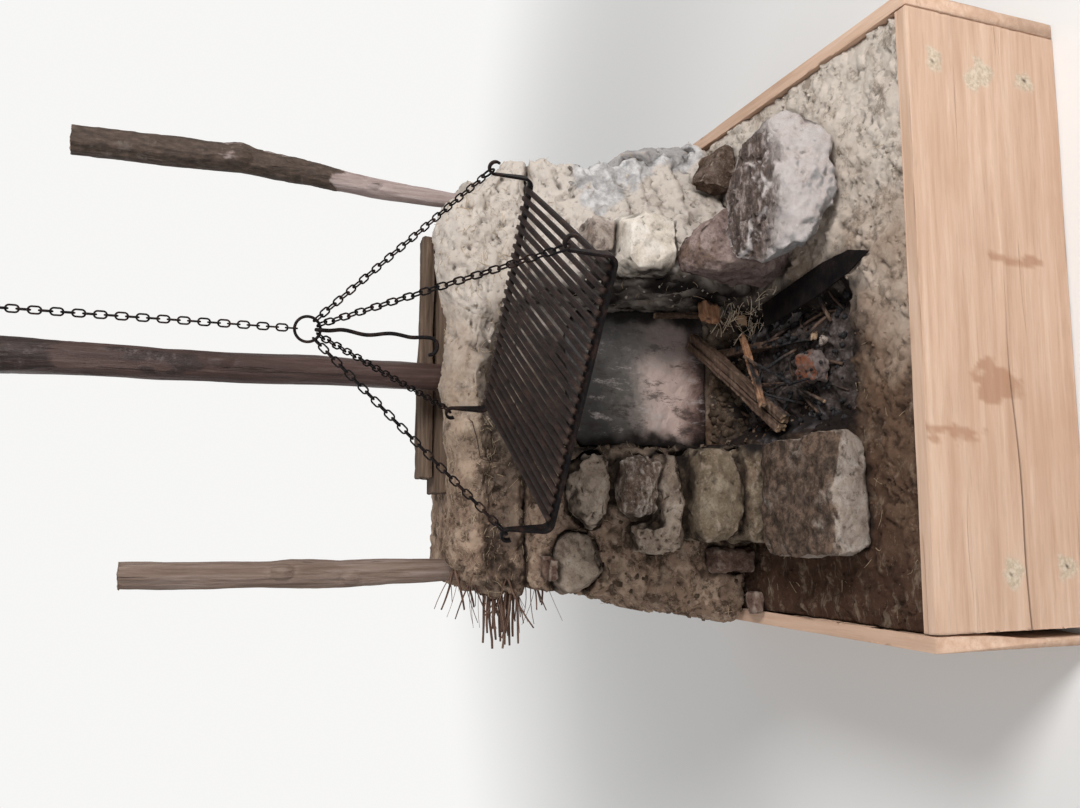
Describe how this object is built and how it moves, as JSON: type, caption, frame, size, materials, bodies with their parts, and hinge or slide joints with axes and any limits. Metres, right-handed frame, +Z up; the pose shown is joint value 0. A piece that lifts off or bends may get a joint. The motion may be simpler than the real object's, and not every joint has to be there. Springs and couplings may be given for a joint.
{
  "type": "raised open hearth with hanging gridiron",
  "caption": "Raised open hearth of a traditional house: clay bed in a timber kerb, stone and cob cheeks, fireback, cob mantel with poles, and a gridiron hung on chains.",
  "frame": {"origin": "on the ground, in the middle of the timber kerb's outline", "axes": "+X to the right as seen from the front, +Y to the back, +Z up"},
  "size_m": [1.2241, 1.2109, 2.25],
  "materials": {
    "fresh_pine": "sawn, matt",
    "sooty_clay": "rough, dry",
    "cob": "rough, with straw",
    "dark_stone": "sooty",
    "olive_stone": "rough",
    "purple_stone": "split",
    "tan_stone": "rough",
    "pale_stone": "flaky",
    "pink_granite": "rough",
    "brown_stone": "split",
    "blue_grey_stone": "rough",
    "fireback_stone": "sooty",
    "grey_pole_wood": "debarked, matt",
    "red_pole_wood": "smoothed by hands",
    "bark_pole_wood": "with bark",
    "split_log": "split, matt",
    "twigs": "with bark",
    "arm_wood": "debarked, matt",
    "forged_iron": "forged, slightly rusty",
    "burnt_wood": "partly charred"
  },
  "bodies": {
    "hearth": {"front_board": "fresh_pine", "left_board": "fresh_pine", "right_board": "fresh_pine", "back_board": "fresh_pine", "clay_bed": "sooty_clay", "left_block": "dark_stone", "left_base_stone": "olive_stone", "left_olive_stone": "olive_stone", "left_split_stone": "purple_stone", "left_flaky_stone": "pale_stone", "left_grey_stone": "tan_stone", "left_tan_stone": "tan_stone", "left_small_stones": "purple_stone", "left_cob_wall": "cob", "right_boulder": "pink_granite", "right_purple_stone": "purple_stone", "right_tan_stone": "tan_stone", "right_pale_stone": "pale_stone", "right_wedge_stone": "brown_stone", "right_outer_stones": "blue_grey_stone", "right_cob_wall": "cob", "fireback_slab": "fireback_stone", "back_wall": "cob", "mantel": "cob", "mantel_ledge": "cob", "brushwood": "twigs", "left_pole": "grey_pole_wood", "centre_pole": "red_pole_wood", "right_pole": "bark_pole_wood", "shelf_logs": "split_log", "hanging_arm": "arm_wood", "arm_brace": "arm_wood", "arm_hook": "forged_iron", "fire_blade": "forged_iron", "firewood": "burnt_wood"},
    "top_link": {"top_link": "forged_iron"},
    "chain": {"main_chain": "forged_iron"},
    "grill": {"chain_ring": "forged_iron", "front_chain": "forged_iron", "right_chain": "forged_iron", "back_chain": "forged_iron", "left_chain": "forged_iron", "gridiron_rails": "forged_iron", "gridiron_bars": "forged_iron"},
    "pot_hook": {"pot_hook": "forged_iron"}
  },
  "joints": [
    {"name": "swing_sideways", "type": "hinge", "parent": "hearth", "child": "top_link", "pos_m": [-0.047, -0.27, 2.075], "axis": [0, 1, 0], "range_deg": [-6, 6]},
    {"name": "swing_fore_aft", "type": "hinge", "parent": "top_link", "child": "chain", "pos_m": [-0.047, -0.27, 2.06138], "axis": [1, 0, 0], "range_deg": [-6, 0.8]},
    {"name": "gridiron_turn", "type": "hinge", "parent": "chain", "child": "grill", "pos_m": [-0.047, -0.27, 1.35498], "axis": [0, 0, 1], "range_deg": [-20, 20]},
    {"name": "pot_hook_swing", "type": "hinge", "parent": "grill", "child": "pot_hook", "pos_m": [-0.047, -0.27, 1.31298], "axis": [0.9816, -0.1908, 0], "range_deg": [-25, 25]}
  ]
}
